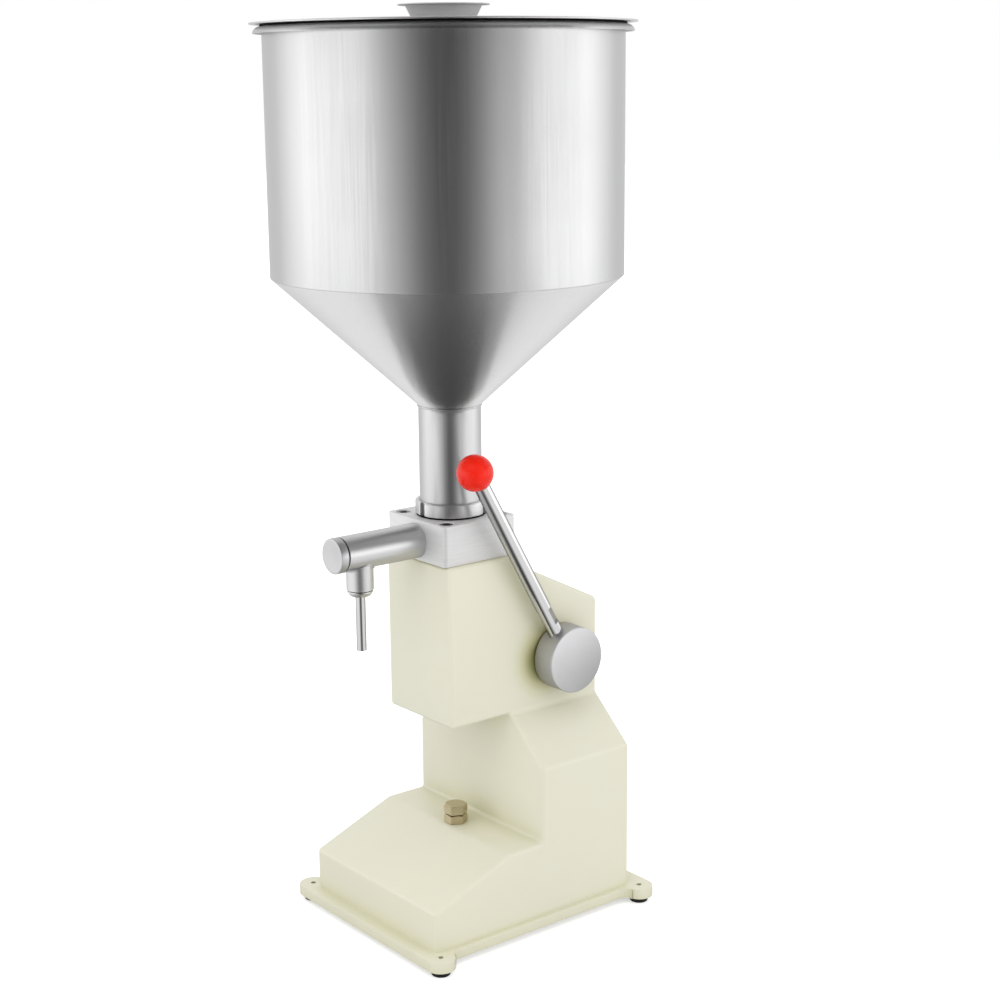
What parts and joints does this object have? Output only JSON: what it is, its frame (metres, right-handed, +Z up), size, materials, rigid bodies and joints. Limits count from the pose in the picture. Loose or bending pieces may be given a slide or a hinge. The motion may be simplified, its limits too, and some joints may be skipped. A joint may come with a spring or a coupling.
{
  "type": "manual paste filling machine",
  "caption": "Hand-lever piston filler: cast stand, valve block with hopper and lid on top, outlet tube with drop nozzle, and a lever with ball knob that drives the piston.",
  "frame": {"origin": "on the floor under the hopper and piston axis, which is also the middle of the lid", "axes": "+Z up along the hopper and piston axis, -Y towards the nozzle and the user, +X towards the lever"},
  "size_m": [0.278, 0.278, 0.6946],
  "materials": {
    "cream_paint": "satin sprayed cream enamel over a casting",
    "brushed_steel": "brushed stainless steel",
    "polished_steel": "polished stainless steel",
    "nickel_plate": "warm nickel plating",
    "dark_steel": "dark stainless fasteners",
    "spring_steel": "drawn stainless wire",
    "bronze": "turned bearing bronze",
    "cast_iron": "machined iron casting",
    "red_plastic": "glossy red phenolic",
    "black_rubber": "moulded black rubber",
    "black_seal": "black food-grade rubber"
  },
  "bodies": {
    "stand": {"body_casting": "cream_paint", "foot_front_left": "black_rubber", "foot_front_right": "black_rubber", "foot_rear_left": "black_rubber", "foot_rear_right": "black_rubber", "foot_screws": "nickel_plate", "valve_block": "brushed_steel", "block_screws": "dark_steel", "cylinder_liner": "brushed_steel", "liner_seal": "black_seal", "spring_seat": "brushed_steel", "inlet_seat": "brushed_steel", "inlet_spring": "spring_steel", "outlet_tube": "brushed_steel", "outlet_spring": "spring_steel", "end_cap": "brushed_steel", "cap_seal": "black_seal", "nozzle_holder": "brushed_steel", "nozzle_seal": "black_seal", "nozzle_tube": "brushed_steel", "hopper_shell": "brushed_steel", "hopper_cone": "brushed_steel", "hopper_neck": "brushed_steel", "hopper_gasket": "black_seal", "lock_ring": "brushed_steel", "rod_bush": "bronze", "shaft_bush_right": "bronze", "shaft_bush_left": "bronze"},
    "lever": {"lever_rod": "polished_steel", "ball_knob": "red_plastic", "lever_hub": "polished_steel", "hub_screw": "dark_steel", "lever_shaft": "polished_steel", "shaft_key": "dark_steel", "shaft_clip": "dark_steel", "fork_arm": "cast_iron", "cross_pin": "polished_steel", "pin_clips": "dark_steel"},
    "piston": {"piston": "brushed_steel", "piston_rings": "black_seal", "piston_rod": "polished_steel"},
    "inlet_valve": {"inlet_ball": "polished_steel"},
    "outlet_valve": {"outlet_ball": "polished_steel"},
    "lid": {"lid": "brushed_steel", "lid_skirt": "brushed_steel", "lid_seal": "black_seal", "lid_knob": "brushed_steel", "knob_screw": "nickel_plate"},
    "stop_bolt": {"stop_bolt": "nickel_plate"},
    "lock_nut": {"lock_nut": "nickel_plate"}
  },
  "joints": [
    {"name": "lever_swing", "type": "hinge", "parent": "stand", "child": "lever", "pos_m": [0, 0.0725, 0.204], "axis": [1, 0, 0], "range_deg": [0, 33]},
    {"name": "piston_slide", "type": "slide", "parent": "stand", "child": "piston", "axis": [0, 0, -1], "range_m": [0, 0.04198]},
    {"name": "inlet_ball_lift", "type": "slide", "parent": "stand", "child": "inlet_valve", "axis": [0, 0, -1], "range_m": [0, 0.0035], "stiffness_N_per_m": 200, "springref_m": -0.003, "deforming": ["inlet_spring"]},
    {"name": "outlet_ball_lift", "type": "slide", "parent": "stand", "child": "outlet_valve", "axis": [0, -1, 0], "range_m": [0, 0.005], "stiffness_N_per_m": 150, "springref_m": -0.004, "deforming": ["outlet_spring"]},
    {"name": "lid_lift", "type": "slide", "parent": "stand", "child": "lid", "axis": [0, 0, 1], "range_m": [0, 0.12]},
    {"name": "stop_bolt_travel", "type": "slide", "parent": "stand", "child": "stop_bolt", "axis": [0, 0, -1], "range_m": [-0.048, 0]},
    {"name": "lock_nut_turn", "type": "hinge", "parent": "stand", "child": "lock_nut", "pos_m": [0, 0, 0.075], "axis": [0, 0, 1], "range_deg": [0, 180]}
  ],
  "couplings": [
    {"joint": "piston_slide", "follows": "lever_swing", "m_per_rad": 0.072854}
  ]
}
